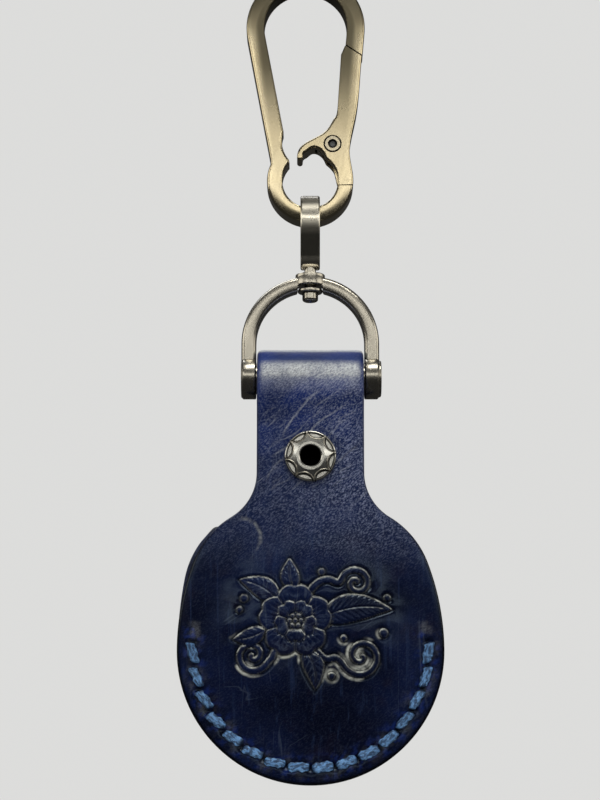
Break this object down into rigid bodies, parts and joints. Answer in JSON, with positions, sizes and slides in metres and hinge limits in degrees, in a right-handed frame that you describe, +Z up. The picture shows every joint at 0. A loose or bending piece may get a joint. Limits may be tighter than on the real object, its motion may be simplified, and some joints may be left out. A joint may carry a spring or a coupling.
{
  "type": "tracker tag holder",
  "caption": "Leather holder for a round tracker tag, with a snapped strap folded over a screw shackle, a swivel and a spring-gate clip to hang it from keys or a bag.",
  "frame": {"origin": "inner crown of the clip's big loop, from which the part hangs", "axes": "+X to the right seen from the front, +Y from the front face to the back, +Z up"},
  "size_m": [0.049, 0.0128, 0.156],
  "materials": {
    "nickel": "satin antique nickel",
    "spring_steel": "plain spring wire",
    "leather": "dark navy waxed leather with burnished edges",
    "thread": "light blue waxed thread"
  },
  "bodies": {
    "carabiner": {"carabiner_frame": "nickel", "gate_rivet": "nickel", "gate_spring": "spring_steel"},
    "gate": {"carabiner_gate": "nickel"},
    "swivel": {"swivel_eye": "nickel", "swivel_washer": "nickel"},
    "shackle": {"shackle_bow": "nickel", "shackle_screw": "nickel"},
    "holder": {"front_panel": "leather", "strap_fold": "leather", "back_panel": "leather", "seam_thread": "thread", "snap_eyelet": "nickel", "snap_stud": "nickel"},
    "flap": {"strap_flap": "leather", "snap_socket": "nickel", "snap_ring": "spring_steel", "snap_cap": "nickel"}
  },
  "joints": [
    {"name": "gate_pivot", "type": "hinge", "parent": "carabiner", "child": "gate", "pos_m": [0.0043, 0, -0.0315], "axis": [0, -1, 0], "range_deg": [0, 25], "stiffness_Nm_per_rad": 0.03, "springref_deg": -22.92, "deforming": ["gate_spring"]},
    {"name": "eye_swing", "type": "hinge", "parent": "carabiner", "child": "swivel", "pos_m": [0, 0, -0.04557], "axis": [1, 0, 0], "range_deg": [-75, 75]},
    {"name": "swivel_spin", "type": "hinge", "parent": "swivel", "child": "shackle", "pos_m": [0, 0, -0.058], "axis": [0, 0, 1], "continuous": true},
    {"name": "holder_swing", "type": "hinge", "parent": "shackle", "child": "holder", "pos_m": [0, 0, -0.07702], "axis": [1, 0, 0], "range_deg": [-90, 90]},
    {"name": "flap_open", "type": "hinge", "parent": "holder", "child": "flap", "pos_m": [0, 0, -0.07702], "axis": [1, 0, 0], "range_deg": [0, 50], "deforming": ["strap_fold"]}
  ]
}
